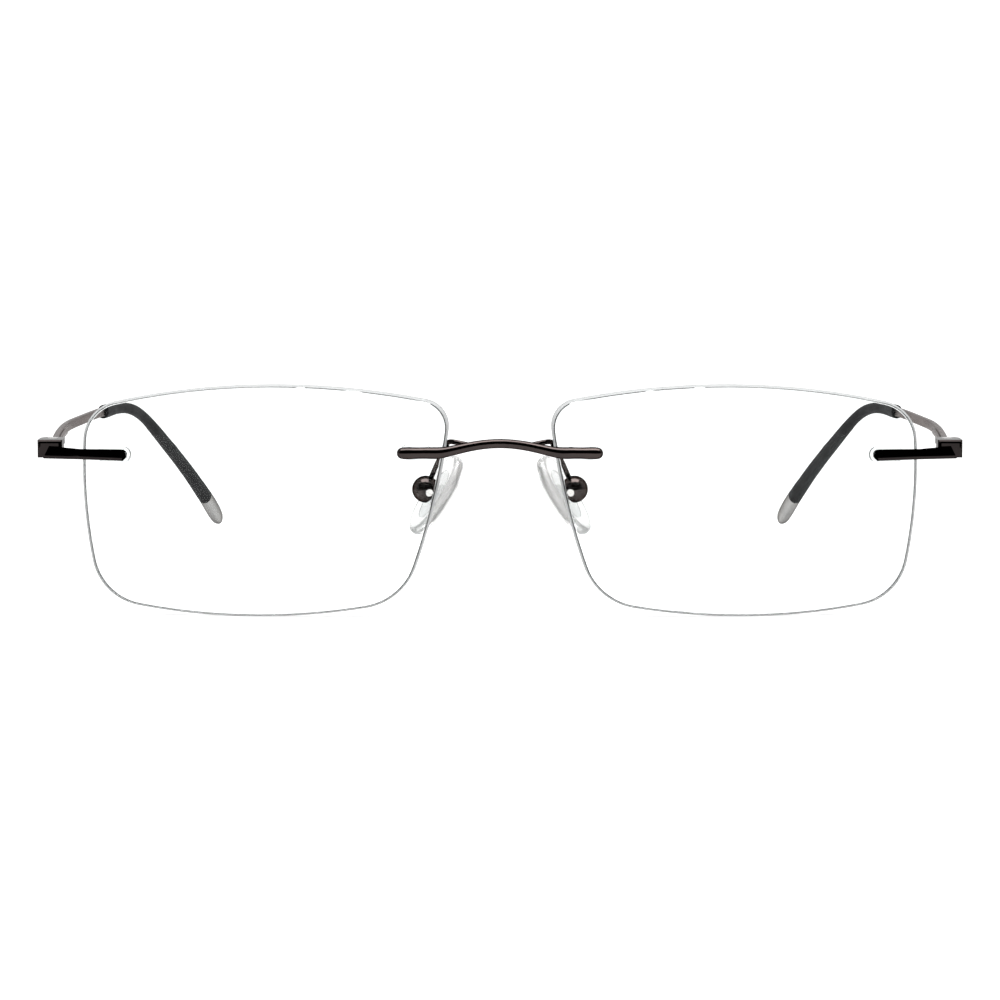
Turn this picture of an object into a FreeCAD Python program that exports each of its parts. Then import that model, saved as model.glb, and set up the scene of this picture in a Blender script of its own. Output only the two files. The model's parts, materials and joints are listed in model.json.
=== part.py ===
import FreeCAD, Part
import math
import os
import Sketcher

# Rimless eyeglasses: two drilled lenses carried by a wire bridge and two end pieces, each held
# by a clear double plug with a pair of pins, folding temples and screw-mounted nose pads.
#
# Working frame, in millimetres: X = 0 is the middle of the bridge, +X is the wearer's left,
# +Y runs back towards the ears and +Z is up. Y = 0, Z = 0 is the front of each lens at its
# middle. Pieces are modelled for the wearer's left, mirrored to the right, and the whole then
# stands open on Z = 0 with its box centred on the origin.

Vec = FreeCAD.Vector
Z_AXIS = Vec(0, 0, 1)
Y_AXIS = Vec(0, 1, 0)
NO_TURN = FreeCAD.Rotation()

# Every size that can be set by itself: name, value and what it is.
SIZES = (
    # Lenses.
    ("lens_width", 55.0, "boxed width of a lens"),
    ("lens_height", 35.0, "boxed height of a lens"),
    ("lens_gap", 16.3, "distance between the lenses"),
    ("lens_thickness", 1.8, "lens thickness"),
    ("lens_curve", 120.0, "radius of the lens front"),
    ("lens_wrap", 5.0, "turn of each lens back towards the temple, degrees"),
    ("lens_tilt", 3.5, "lean of the lens bottoms towards the face, degrees"),
    ("brow_arc", 106.0, "radius of the top edge"),
    ("nasal_arc", 101.0, "radius of the edge beside the nose"),
    ("cheek_arc", 115.0, "radius of the bottom edge"),
    ("temporal_arc", 82.5, "radius of the outer edge"),
    ("upper_corner", 6.0, "rounding of the upper corner on the temple side"),
    ("brow_corner", 4.2, "rounding of the upper corner beside the nose"),
    ("nasal_corner", 9.4, "rounding of the lower corner beside the nose"),
    ("temporal_corner", 8.1, "rounding of the lower corner on the temple side"),
    ("outline_sink", 0.5, "how far the outline's middle lies under the lens middle"),
    # Pins and double plugs that hold a mount to a lens.
    ("pin_radius", 0.4, "radius of a mounting pin"),
    ("pin_spacing", 3.0, "distance between the two pins of a pair"),
    ("plug_wall", 0.3, "wall of a plug sleeve round its pin"),
    ("plug_rim", 0.5, "how far the plug's flange stands out round its sleeves"),
    ("plug_flange", 0.6, "thickness of the plug's flange"),
    ("fit_gap", 0.01, "radial gap of a pressed fit"),
    ("seat_gap", 0.05, "gap between a flat seat and the curved lens"),
    # Bridge.
    ("bridge_reach", 15.35, "half the length of the bridge"),
    ("bridge_height", 7.05, "height of its bars over the lens middles"),
    ("bridge_rise", 1.35, "rise of the arch over the bars"),
    ("bridge_bar_radius", 0.87, "radius of the bars on the lenses"),
    ("bridge_wire_radius", 0.70, "radius of the arch at its middle"),
    ("bridge_pin_inset", 3.25, "bar end to the middle of its pin pair"),
    # End pieces and hinges.
    ("end_mount_inset", 4.35, "outer lens edge to the middle of the pin pair"),
    ("end_mount_height", 6.1, "height of the end bar over the lens middles"),
    ("end_bar_tip", 2.75, "pin pair's middle to the inner tip of the bar"),
    ("end_bar_depth", 1.1, "depth of the end bar, front to back"),
    ("end_bar_height", 1.7, "height of the bar at its inner end"),
    ("end_bar_waist", 1.54, "height of the bar at the lens edge"),
    ("end_bar_foot", 1.95, "height of the bar at its outer end"),
    ("end_bar_roll", 8.0, "upward lean of the bar's face, degrees"),
    ("end_bevel", 0.4, "bevel along the outer end and lower edge"),
    ("hinge_offset", 4.6, "outer lens edge to the hinge axis, across"),
    ("hinge_setback", 10.0, "lens front to the hinge axis, back"),
    ("hinge_height", 7.15, "height of the hinge over the lens middles"),
    ("block_round", 0.5, "rounding of the hinge block's front edges"),
    ("hinge_radius", 1.85, "outer radius of the hinge ears"),
    ("ear_thickness", 0.85, "thickness of an ear"),
    ("eye_thickness", 0.9, "thickness of the temple's eye"),
    ("hinge_gap", 0.04, "clearance above and below the eye"),
    ("swing_gap", 0.15, "clearance round what turns on the hinge"),
    ("hinge_screw_radius", 0.5, "radius of the hinge screw"),
    ("hinge_head_radius", 0.85, "radius of the hinge screw's head"),
    ("hinge_head_depth", 0.35, "depth of the hinge screw's head"),
    ("running_gap", 0.04, "radial clearance of a turning fit"),
    ("slot_width", 0.2, "width of a screwdriver slot"),
    ("slot_depth", 0.15, "depth of a screwdriver slot"),
    # Temples.
    ("temple_straight", 83.5, "hinge end to the bend over the ear"),
    ("drop_angle", 30.25, "fall of the part behind the ear, degrees"),
    ("inward_angle", 18.0, "inward turn of the part behind the ear, degrees"),
    ("strip_height", 1.45, "height of the temple strip"),
    ("strip_thickness", 0.95, "thickness of the temple strip"),
    ("core_height", 1.05, "height of the strip inside its sleeve"),
    ("core_thickness", 0.7, "thickness of the strip inside its sleeve"),
    ("leaf_length", 28.0, "length of the hinge leaf along the temple"),
    ("leaf_height", 0.8, "height of the hinge leaf"),
    ("leaf_thickness", 0.45, "thickness of the hinge leaf"),
    ("sleeve_start", 69.5, "hinge end of the strip to the mouth of the sleeve"),
    ("mouth_height", 2.3, "height of the sleeve at its mouth"),
    ("neck_height", 1.85, "height of the sleeve behind its mouth"),
    ("tip_height", 2.7, "height of the sleeve at the tip cap"),
    ("sleeve_flatness", 0.84, "thickness of the sleeve over its height"),
    ("cap_length", 8.5, "length of the tip cap"),
    # Nose pads.
    ("pad_across", 11.3, "bridge middle to the pad screw, across"),
    ("pad_setback", 8.4, "lens front to the pad screw, back"),
    ("pad_height", 0.9, "height of the pad screw over the lens middles"),
    ("pad_spread", 32.0, "spread of the pads from upright, degrees"),
    ("pad_splay", 20.0, "turn of the pads towards the face, degrees"),
    ("pad_length", 13.4, "length of a pad"),
    ("pad_width", 7.8, "width of a pad"),
    ("pad_thickness", 2.5, "thickness of a pad"),
    ("plate_length", 8.2, "length of the plate inside a pad"),
    ("plate_width", 4.4, "width of the plate inside a pad"),
    ("plate_thickness", 0.6, "thickness of the plate inside a pad"),
    ("tab_width", 2.0, "width of the pad's tab along its screw"),
    ("tab_height", 1.7, "height of the pad's tab"),
    ("tab_reach", 0.75, "reach of the tab behind the pad screw"),
    ("pad_standoff", 1.25, "pad screw to the back of the pad"),
    ("cup_radius", 2.05, "outer radius of the ball-shaped pad cup"),
    ("cup_wall", 0.6, "wall of the pad cup at its middle"),
    ("cup_depth", 1.1, "pad screw to the floor of the cup"),
    ("cup_rim", 0.95, "pad screw to the open rim of the cup"),
    ("pad_screw_radius", 0.4, "radius of the pad screw"),
    ("pad_head_radius", 0.56, "radius of the pad screw's head"),
    ("pad_head_depth", 0.3, "depth of the pad screw's head"),
    ("arm_radius", 0.38, "radius of the pad arm's wire"),
    ("arm_root", 4.0, "bridge middle to the root of a pad arm"),
)

doc = FreeCAD.newDocument("Eyeglasses")
sheet = doc.addObject("Spreadsheet::Sheet", "Sheet")


def fill_sheet():
    """Write the driving dimensions, one row each, with their names as aliases."""
    for row, (alias, value, note) in enumerate(SIZES, start=1):
        sheet.set(f"A{row}", str(value))
        sheet.setAlias(f"A{row}", alias)
        sheet.set(f"B{row}", note)
    for offset, alias in enumerate(("stand_y", "stand_z"), start=len(SIZES) + 1):
        sheet.set(f"A{offset}", "0")
        sheet.setAlias(f"A{offset}", alias)
    doc.recompute()


def size(alias):
    """The value of one named cell."""
    return float(sheet.get(alias))


def bind(item, **expressions):
    """Bind properties to cells; a double underscore in a name stands for a dot."""
    for name, expression in expressions.items():
        item.setExpression(name.replace("__", "."), expression)
    return item


def add(kind, name, **expressions):
    """Add a document object and bind its properties."""
    return bind(doc.addObject(kind, name), **expressions)


def cut(name, base, tool):
    """The base with the tool cut out of it."""
    result = doc.addObject("Part::Cut", name)
    result.Base = base
    result.Tool = tool
    return result


def fuse(name, *pieces):
    """Several pieces joined into one."""
    result = doc.addObject("Part::MultiFuse", name)
    result.Shapes = list(pieces)
    return result


def rod(name, radius, height, placement):
    """A round rod along the placement's own Z; radius and height are expressions."""
    item = add("Part::Cylinder", name, Radius=radius, Height=height)
    item.Placement = placement
    return item


def sketch_on(body, role, name):
    """A sketch on one of the body's own origin planes."""
    plane = next(item for item in body.Origin.OriginFeatures if item.Role == role)
    sketch = body.newObject("Sketcher::SketchObject", name)
    sketch.AttachmentSupport = [(plane, "")]
    sketch.MapMode = "FlatFace"
    return sketch


def pin_down(sketch, index, x_expression, z_expression, point):
    """Tie the start of one sketch line or arc to two expressions."""
    for kind, value, expression in (("DistanceX", point[0], x_expression),
                                    ("DistanceY", point[1], z_expression)):
        number = sketch.addConstraint(Sketcher.Constraint(kind, -1, 1, index, 1, value))
        sketch.setExpression(f"Constraints[{number}]", expression)


def sheet_value(expression):
    """The number that an expression over the sheet has now."""
    return float(sheet.evalExpression(expression.replace("Sheet.", "")))


def straight_outline(sketch, corners):
    """A closed outline of straight lines through corners given as expression pairs."""
    points = [(sheet_value(x), sheet_value(z)) for x, z in corners]
    count = len(points)
    for index in range(count):
        ends = (Vec(*points[index], 0), Vec(*points[(index + 1) % count], 0))
        sketch.addGeometry(Part.LineSegment(*ends), False)
    for index in range(count):
        sketch.addConstraint(Sketcher.Constraint("Coincident", index, 2, (index + 1) % count, 1))
    for index, (x, z) in enumerate(corners):
        pin_down(sketch, index, x, z, points[index])


# --- Curved wires and tubes ---------------------------------------------------------------


def ring(centre, across, up, width, height, power):
    """A closed oval wire; power 2 is an ellipse and a higher one is squarer."""
    points = []
    for step in range(24):
        angle = math.radians(step * 15)
        along = math.copysign(abs(math.cos(angle)) ** (2 / power), math.cos(angle))
        over = math.copysign(abs(math.sin(angle)) ** (2 / power), math.sin(angle))
        points.append(centre + across * (along * width / 2) + up * (over * height / 2))
    curve = Part.BSplineCurve()
    curve.interpolate(points, PeriodicFlag=True)
    return Part.Wire([curve.toShape()])


def smooth_path(poles):
    """A smooth edge that leaves and meets the legs of its control polygon along them."""
    curve = Part.BSplineCurve()
    curve.buildFromPoles(poles, False, 2)
    return curve.toShape()


def tube(path, stations, power=2.0, inset=0.0):
    """A solid along the path through (distance, width, height) stations.

    Height is measured upright to the path and width across it; inset moves the whole
    tube towards the wearer.
    """
    rings = []
    for distance, width, height in stations:
        place = path.getParameterByLength(min(distance, path.Length))
        heading = path.tangentAt(place)
        across = heading.cross(Z_AXIS).normalize()
        up = across.cross(heading).normalize()
        centre = path.valueAt(place) - across * inset
        rings.append(ring(centre, across, up, width, height, power))
    return Part.makeLoft(rings, True, False)


def spaced(start, end, count):
    """Evenly spaced numbers from start to end."""
    return [start + (end - start) * step / (count - 1) for step in range(count)]


def feature(name, shape):
    """A document object that holds a shape worked out in code."""
    item = doc.addObject("Part::Feature", name)
    item.Shape = shape
    return item


# --- Lenses -------------------------------------------------------------------------------


def lens_middle():
    """The placement of the left lens in the working frame."""
    wrap = FreeCAD.Rotation(Z_AXIS, size("lens_wrap"))
    tilt = FreeCAD.Rotation(Vec(1, 0, 0), size("lens_tilt"))
    return FreeCAD.Placement(Vec((size("lens_gap") + size("lens_width")) / 2, 0, 0), tilt * wrap)


def lens_seat(across, height):
    """Where a mount sits on the lens front: origin there, +Y along its pins, +Z upright.

    across and height are measured from the lens middle, in the lens's own plane.
    """
    curve = size("lens_curve")
    depth = math.sqrt(curve ** 2 - across ** 2 - height ** 2)
    middle = lens_middle()
    point = middle.multVec(Vec(across, curve - depth, height))
    inward = middle.Rotation.multVec(Vec(-across, depth, -height))
    turn = math.degrees(math.atan2(-inward.x, inward.y))
    return FreeCAD.Placement(point, FreeCAD.Rotation(Z_AXIS, turn))


def bridge_seat():
    """The seat of the bridge on the left lens."""
    from_middle = size("bridge_reach") - size("bridge_pin_inset")
    across = from_middle - (size("lens_gap") + size("lens_width")) / 2
    return lens_seat(across, size("bridge_height"))


def end_seat():
    """The seat of the end piece on the left lens."""
    return lens_seat(size("lens_width") / 2 - size("end_mount_inset"), size("end_mount_height"))


def pin_places(seat, depth):
    """The two pin places of a seat, depth behind the lens front, with +Z along the pins."""
    half = size("pin_spacing") / 2
    along = FreeCAD.Rotation(Vec(1, 0, 0), -90)
    return [seat * FreeCAD.Placement(Vec(side * half, depth, 0), along) for side in (-1, 1)]


# The outline's corners before rounding: shares of the lens width (outwards) and height (up),
# with the size that rounds each.
OUTLINE_CORNERS = (
    (0.4921, 0.3653, "upper_corner"),
    (-0.5095, 0.3981, "brow_corner"),
    (-0.3787, -0.4455, "nasal_corner"),
    (0.4549, -0.4512, "temporal_corner"),
)


def lens_outline():
    """The lens outline, padded through the whole curve of the lens."""
    corners = [(f"Sheet.lens_width * {across}", f"Sheet.lens_height * {up}")
               for across, up, _ in OUTLINE_CORNERS]
    arcs = ("brow_arc", "nasal_arc", "cheek_arc", "temporal_arc")
    body = doc.addObject("PartDesign::Body", "LensOutline")
    sketch = sketch_on(body, "XZ_Plane", "LensSketch")
    points = [Vec(sheet_value(x), sheet_value(z), 0) for x, z in corners]
    for index, alias in enumerate(arcs):
        start, end, radius = points[index], points[(index + 1) % 4], size(alias)
        chord = end - start
        inward = Vec(-chord.y, chord.x, 0).normalize()
        sagitta_side = math.sqrt(radius ** 2 - chord.Length ** 2 / 4)
        circle = Part.Circle((start + end) * 0.5 + inward * sagitta_side, Z_AXIS, radius)
        ends = (circle.parameter(start), circle.parameter(end))
        sketch.addGeometry(Part.ArcOfCircle(circle, *ends), False)
    for index in range(4):
        sketch.addConstraint(Sketcher.Constraint("Coincident", index, 2, (index + 1) % 4, 1))
    for index, (x, z) in enumerate(corners):
        pin_down(sketch, index, x, z, (points[index].x, points[index].y))
    for index, alias in enumerate(arcs):
        number = sketch.addConstraint(Sketcher.Constraint("Radius", index, size(alias)))
        sketch.setExpression(f"Constraints[{number}]", f"Sheet.{alias}")
    pad = body.newObject("PartDesign::Pad", "LensPad")
    pad.Profile = sketch
    pad.SideType = "Symmetric"
    bind(pad, Length="Sheet.lens_width / 2")
    doc.recompute()
    rounded = pad
    for alias in ("upper_corner", "brow_corner", "nasal_corner", "temporal_corner"):
        edges = [f"Edge{number}" for number, edge in enumerate(rounded.Shape.Edges, start=1)
                 if is_corner(edge, alias)]
        fillet = body.newObject("PartDesign::Fillet", f"Round_{alias}")
        fillet.Base = (rounded, edges)
        bind(fillet, Radius=f"Sheet.{alias}")
        doc.recompute()
        rounded = fillet
    return body


def is_corner(edge, alias):
    """Whether an edge of the padded outline is a sharp corner that this size rounds."""
    box = edge.BoundBox
    flat = box.XLength < 0.01 and box.ZLength < 0.01
    return flat and any(
        abs(box.Center.x / size("lens_width") - across) < 0.001
        and abs(box.Center.z / size("lens_height") - up) < 0.001
        for across, up, rounding in OUTLINE_CORNERS if rounding == alias)


def make_lens():
    """The left lens: a curved shell of even thickness, drilled for both mounts."""
    front = add("Part::Sphere", "LensFront", Radius="Sheet.lens_curve",
                Placement__Base__y="Sheet.lens_curve")
    back = add("Part::Sphere", "LensBack", Radius="Sheet.lens_curve - Sheet.lens_thickness",
               Placement__Base__y="Sheet.lens_curve")
    blank = doc.addObject("Part::Common", "LensBlank")
    blank.Base = cut("LensShell", front, back)
    blank.Tool = lens_outline()
    blank.Placement = lens_middle()
    drills = []
    for name, seat in (("Bridge", bridge_seat()), ("End", end_seat())):
        for index, place in enumerate(pin_places(seat, -size("lens_thickness")), start=1):
            drills.append(rod(f"{name}Drill{index}",
                              "Sheet.pin_radius + Sheet.plug_wall + Sheet.fit_gap * 2",
                              "Sheet.lens_thickness * 4", place))
    return cut("LeftLens", blank, fuse("LensDrills", *drills))


# --- Mounting pins and plugs --------------------------------------------------------------


def make_plug(name, seat):
    """A clear double plug: two sleeves through the lens on one flange behind it."""
    back = size("lens_thickness") + size("seat_gap")
    half = size("pin_spacing") / 2
    sleeve = "Sheet.pin_radius + Sheet.plug_wall + Sheet.fit_gap"
    flange_radius = f"{sleeve} + Sheet.plug_rim"
    parts = []
    bores = []
    for index, place in enumerate(pin_places(seat, size("seat_gap")), start=1):
        parts.append(rod(f"{name}Sleeve{index}", sleeve, "Sheet.lens_thickness", place))
        bores.append(rod(f"{name}Bore{index}", "Sheet.pin_radius + Sheet.fit_gap",
                         "Sheet.lens_thickness * 4", place))
    for index, place in enumerate(pin_places(seat, back), start=1):
        parts.append(rod(f"{name}Pad{index}", flange_radius, "Sheet.plug_flange", place))
    web = add("Part::Box", f"{name}Web", Length="Sheet.pin_spacing",
              Width="Sheet.plug_flange", Height=f"2 * ({flange_radius})")
    radius = sheet_value(flange_radius)
    web.Placement = seat * FreeCAD.Placement(Vec(-half, back, -radius), NO_TURN)
    return cut(name, fuse(f"{name}Solid", *parts, web), fuse(f"{name}Bores", *bores))


def make_pins(name, seat, start):
    """The two pins of a mount, from start to just past the plug's flange."""
    pins = [rod(f"{name}{index}", "Sheet.pin_radius",
                "Sheet.lens_thickness + Sheet.seat_gap + Sheet.plug_flange", place)
            for index, place in enumerate(pin_places(seat, start), start=1)]
    compound = doc.addObject("Part::Compound", name)
    compound.Links = pins
    return compound


# --- Bridge -------------------------------------------------------------------------------


def make_bridge():
    """The bridge: a round wire that lies on both lens fronts and arches between them."""
    seat = bridge_seat()
    radius = size("bridge_bar_radius")
    wire = size("bridge_wire_radius")
    slope = math.tan(math.atan2(seat.Rotation.multVec(Y_AXIS).x, 1))
    arch = size("bridge_reach") - 2 * size("bridge_pin_inset") + radius / 4
    along = seat.Rotation.multVec(Vec(1, 0, 0))
    bar_middle = seat.Base - seat.Rotation.multVec(Y_AXIS) * (radius + size("seat_gap"))
    edge = bar_middle + along * ((arch - bar_middle.x) / along.x)
    end = bar_middle + along * ((size("bridge_reach") - radius - bar_middle.x) / along.x)

    def wire_at(share):
        """Centre and radius of the arch, from its left foot at 1 to its middle at 0."""
        rise = size("bridge_rise") * (1 - share ** 2) ** 1.5
        bow = slope * arch / 2 * (1 - share ** 2)
        grow = wire + (radius - wire) * share ** 4
        return Vec(edge.x * share, edge.y + bow, edge.z + rise), grow

    outwards = (end - edge).normalize()
    rounding = [math.radians(angle) for angle in (80, 55, 30)]
    left = [(end + outwards * (radius * math.sin(turn)), radius * math.cos(turn))
            for turn in rounding]
    left += [(end + (edge - end) * share, radius) for share in (0.0, 0.35, 0.7)]
    left += [wire_at(share) for share in spaced(1.0, 0.125, 8)]
    right = [(Vec(-centre.x, centre.y, centre.z), reach) for centre, reach in reversed(left)]
    stations = left + [wire_at(0.0)] + right
    rings = []
    for index, (centre, reach) in enumerate(stations):
        before = stations[max(index - 1, 0)][0]
        after = stations[min(index + 1, len(stations) - 1)][0]
        heading = (after - before).normalize()
        across = heading.cross(Z_AXIS).normalize()
        up = across.cross(heading)
        rings.append(ring(centre, across, up, 2 * reach, 2 * reach, 2.0))
    return feature("Bridge", Part.makeLoft(rings, True, False))


# --- End pieces and hinges ----------------------------------------------------------------


def hinge_axis():
    """The foot of the left hinge axis, at the underside of the lower ear."""
    across = size("lens_gap") / 2 + size("lens_width") + size("hinge_offset")
    low = size("hinge_height") - size("eye_thickness") / 2 - size("hinge_gap")
    return Vec(across, size("hinge_setback"), low - size("ear_thickness"))


def end_bar():
    """The bar of the end piece, on the lens front, in the seat's own frame."""
    outer = "(Sheet.end_mount_inset + Sheet.hinge_offset + Sheet.hinge_radius - 0.4)"
    edge = "Sheet.end_mount_inset"
    tip = "(-Sheet.end_bar_tip)"
    corners = (
        (tip, "-Sheet.end_bar_height * 0.1"),
        (f"{tip} + Sheet.end_bar_height * 0.35", "-Sheet.end_bar_height / 2"),
        (edge, "-Sheet.end_bar_waist / 2"),
        (outer, "-Sheet.end_bar_foot / 2 + 0.2"),
        (outer, "Sheet.end_bar_foot / 2 + 0.2"),
        (edge, "Sheet.end_bar_waist / 2"),
        (f"{tip} + Sheet.end_bar_height * 0.25", "Sheet.end_bar_height / 2"),
    )
    body = doc.addObject("PartDesign::Body", "EndBar")
    sketch = sketch_on(body, "XZ_Plane", "EndBarSketch")
    straight_outline(sketch, corners)
    pad = body.newObject("PartDesign::Pad", "EndBarPad")
    pad.Profile = sketch
    bind(pad, Length="Sheet.end_bar_depth")
    doc.recompute()
    front = pad.Shape.BoundBox.YMin
    edges = [f"Edge{number}" for number, edge in enumerate(pad.Shape.Edges, start=1)
             if on_bevel(edge, front)]
    chamfer = body.newObject("PartDesign::Chamfer", "EndBarBevel")
    chamfer.Base = (pad, edges)
    bind(chamfer, Size="Sheet.end_bevel")
    roll = FreeCAD.Rotation(Vec(1, 0, 0), -size("end_bar_roll"))
    lift = size("end_bar_foot") / 2 * math.sin(math.radians(size("end_bar_roll")))
    forward = Vec(0, -size("seat_gap") - lift, 0)
    body.Placement = end_seat() * FreeCAD.Placement(forward, roll)
    return body


def on_bevel(edge, front):
    """Whether an edge lies on the bar's front along its outer end or its lower outer side."""
    box = edge.BoundBox
    on_front = abs(box.YMin - front) < 0.01 and abs(box.YMax - front) < 0.01
    outer_half = box.XMin > size("end_mount_inset") - 0.01
    lower = box.Center.z < 0 or box.XLength < 0.01
    return on_front and outer_half and lower


def make_end_piece():
    """The left end piece: the bar on the lens and the fork of the hinge behind it."""
    axis = hinge_axis()
    seat = end_seat()
    reach = axis.x - size("hinge_radius") - seat.Base.x
    bar_back = seat.multVec(Vec(reach, -size("end_bar_depth") / 2, 0)).y
    fork_height = "2 * (Sheet.ear_thickness + Sheet.hinge_gap) + Sheet.eye_thickness"
    block = add("Part::Box", "ForkBlock", Length="2 * Sheet.hinge_radius", Height=fork_height)
    block.Width = axis.y - bar_back
    block.Placement.Base = Vec(axis.x - size("hinge_radius"), bar_back, axis.z)
    doc.recompute()
    front_edges = [number for number, edge in enumerate(block.Shape.Edges, start=1)
                   if edge.BoundBox.YMax < bar_back + 0.01]
    rounded = doc.addObject("Part::Fillet", "ForkRounded")
    rounded.Base = block
    rounded.Edges = [(number, size("block_round"), size("block_round"))
                     for number in front_edges]
    here = FreeCAD.Placement(axis, NO_TURN)
    round_end = rod("ForkRound", "Sheet.hinge_radius", fork_height, here)
    solid = fuse("EndSolid", end_bar(), rounded, round_end)

    mouth = axis.y - size("hinge_radius") - size("swing_gap")
    slot = add("Part::Box", "EyeSlot", Length="4 * Sheet.hinge_radius",
               Width="3 * Sheet.hinge_radius",
               Height="Sheet.eye_thickness + 2 * Sheet.hinge_gap")
    slot.Placement.Base = Vec(axis.x - 2 * size("hinge_radius"), mouth,
                              axis.z + size("ear_thickness"))
    hole = rod("ScrewHole", "Sheet.hinge_screw_radius", fork_height, here)
    head_low = sheet_value(fork_height) - size("hinge_head_depth")
    head = rod("HeadRecess", "Sheet.hinge_head_radius + Sheet.fit_gap", "Sheet.hinge_head_depth * 2",
               FreeCAD.Placement(axis + Vec(0, 0, head_low), NO_TURN))
    return cut("LeftEndPiece", solid, fuse("EndCuts", slot, hole, head))


def make_hinge_screw():
    """The screw of the left hinge, with a slotted flat head in the upper ear."""
    axis = hinge_axis()
    height = "2 * (Sheet.ear_thickness + Sheet.hinge_gap) + Sheet.eye_thickness"
    top = sheet_value(height)
    shank = rod("HingeShank", "Sheet.hinge_screw_radius - Sheet.fit_gap", height,
                FreeCAD.Placement(axis, NO_TURN))
    head = rod("HingeHead", "Sheet.hinge_head_radius", "Sheet.hinge_head_depth",
               FreeCAD.Placement(axis + Vec(0, 0, top - size("hinge_head_depth")), NO_TURN))
    slot = add("Part::Box", "HingeSlot", Length="4 * Sheet.hinge_head_radius",
               Width="Sheet.slot_width", Height="Sheet.slot_depth * 2")
    slot.Placement.Base = axis + Vec(-2 * size("hinge_head_radius"), -size("slot_width") / 2,
                                     top - size("slot_depth"))
    return cut("LeftHingeScrew", fuse("HingeScrewSolid", shank, head), slot)


# --- Temples ------------------------------------------------------------------------------


def temple_path():
    """The centre line of the left temple, from the hinge end of its strip to its tip."""
    straight = size("temple_straight")
    inward = size("inward_angle")
    fall = size("drop_angle")
    falls = ((0.18, fall * 0.64), (0.635, fall), (0.185, fall * 1.35))
    lens_bottom = size("lens_height") / 2 + size("outline_sink")
    depth = size("hinge_height") + lens_bottom - size("tip_height") * 0.4
    drop = depth / sum(share * math.sin(math.radians(pitch)) for share, pitch in falls)
    legs = [
        (0.38 * straight, -5.0, 0),
        (0.29 * straight, 4.6, 0),
        (0.16 * straight, inward * 0.29, 0),
        (0.17 * straight, inward * 0.75, 0),
    ]
    legs += [(share * drop, inward, pitch) for share, pitch in falls]
    axis = hinge_axis()
    start = size("hinge_radius") + size("swing_gap")
    poles = [Vec(axis.x, axis.y + start, size("hinge_height"))]
    for length, turn, pitch in legs:
        level = length * math.cos(math.radians(pitch))
        across = -level * math.sin(math.radians(turn))
        back = level * math.cos(math.radians(turn))
        poles.append(poles[-1] + Vec(across, back, -length * math.sin(math.radians(pitch))))
    return smooth_path(poles)


def make_strip(path):
    """The temple strip: flat to the sleeve, then a thinner core through it into the cap."""
    mouth = size("sleeve_start") + size("mouth_height")
    flat = tube(path, [(place, size("strip_thickness"), size("strip_height"))
                       for place in spaced(0, mouth, 14)], power=8.0)
    end = path.Length - size("cap_length") * 0.6
    core = tube(path, [(place, size("core_thickness"), size("core_height"))
                       for place in spaced(mouth - 1, end, 12)], power=4.0)
    return flat.fuse(core)


def sleeve_stations(path):
    """Distance, width and height of the sleeve along the temple."""
    start = size("sleeve_start")
    end = path.Length - size("cap_length")
    shares = (
        (0.0, "mouth_height", 1.0),
        (0.05, "mouth_height", 0.98),
        (0.12, "neck_height", 1.06),
        (0.2, "neck_height", 1.0),
        (0.36, "neck_height", 1.02),
        (0.52, "neck_height", 1.14),
        (0.68, "neck_height", 1.25),
        (0.84, "tip_height", 0.93),
        (1.0, "tip_height", 1.0),
    )
    stations = []
    for share, alias, factor in shares:
        height = size(alias) * factor
        stations.append((start + share * (end - start), height * size("sleeve_flatness"), height))
    return stations


def make_cap(path):
    """The tip cap that closes the sleeve, with a rounded end."""
    start = path.Length - size("cap_length")
    height = size("tip_height")
    profile = ((0.0, 1.0), (0.3, 1.02), (0.6, 1.0), (0.8, 0.9), (0.93, 0.66), (1.0, 0.34))
    stations = [(start + share * size("cap_length"), height * factor * size("sleeve_flatness"),
                 height * factor) for share, factor in profile]
    return tube(path, stations, power=2.4)


def make_leaf(path):
    """The hinge leaf: an eye on the screw and a thin plate along the strip's inner face."""
    axis = hinge_axis()
    low = size("hinge_height") - size("eye_thickness") / 2
    thick = size("eye_thickness")
    eye = Part.makeCylinder(size("hinge_radius") - size("swing_gap"), thick,
                            Vec(axis.x, axis.y, low))
    inner = size("strip_thickness") / 2
    start = size("hinge_radius") + size("swing_gap")
    width = 2 * inner + size("leaf_thickness") + size("seat_gap")
    corner = Vec(axis.x - inner - size("leaf_thickness") - size("seat_gap"), axis.y, low)
    neck = Part.makeBox(width, start - size("seat_gap"), thick, corner)
    root = Part.makeBox(size("leaf_thickness"), start + thick, thick, corner)
    plate = tube(path, [(place, size("leaf_thickness"), size("leaf_height"))
                        for place in spaced(0, size("leaf_length"), 8)],
                 power=8.0, inset=inner + size("leaf_thickness") / 2 + size("seat_gap"))
    hole = Part.makeCylinder(size("hinge_screw_radius") + size("running_gap"), 2 * thick,
                             Vec(axis.x, axis.y, low - thick / 2))
    return eye.fuse([neck, root, plate]).cut(hole)


def make_temple():
    """The strip, leaf, sleeve and cap of the left temple."""
    path = temple_path()
    strip = make_strip(path)
    sleeve = tube(path, sleeve_stations(path), power=2.2)
    return {
        "LeftTemple": feature("LeftTemple", strip),
        "LeftHingeLeaf": feature("LeftHingeLeaf", make_leaf(path)),
        "LeftTempleSleeve": feature("LeftTempleSleeve", sleeve.cut(strip)),
        "LeftTipCap": feature("LeftTipCap", make_cap(path).cut(strip)),
    }


# --- Nose pads ----------------------------------------------------------------------------


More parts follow.
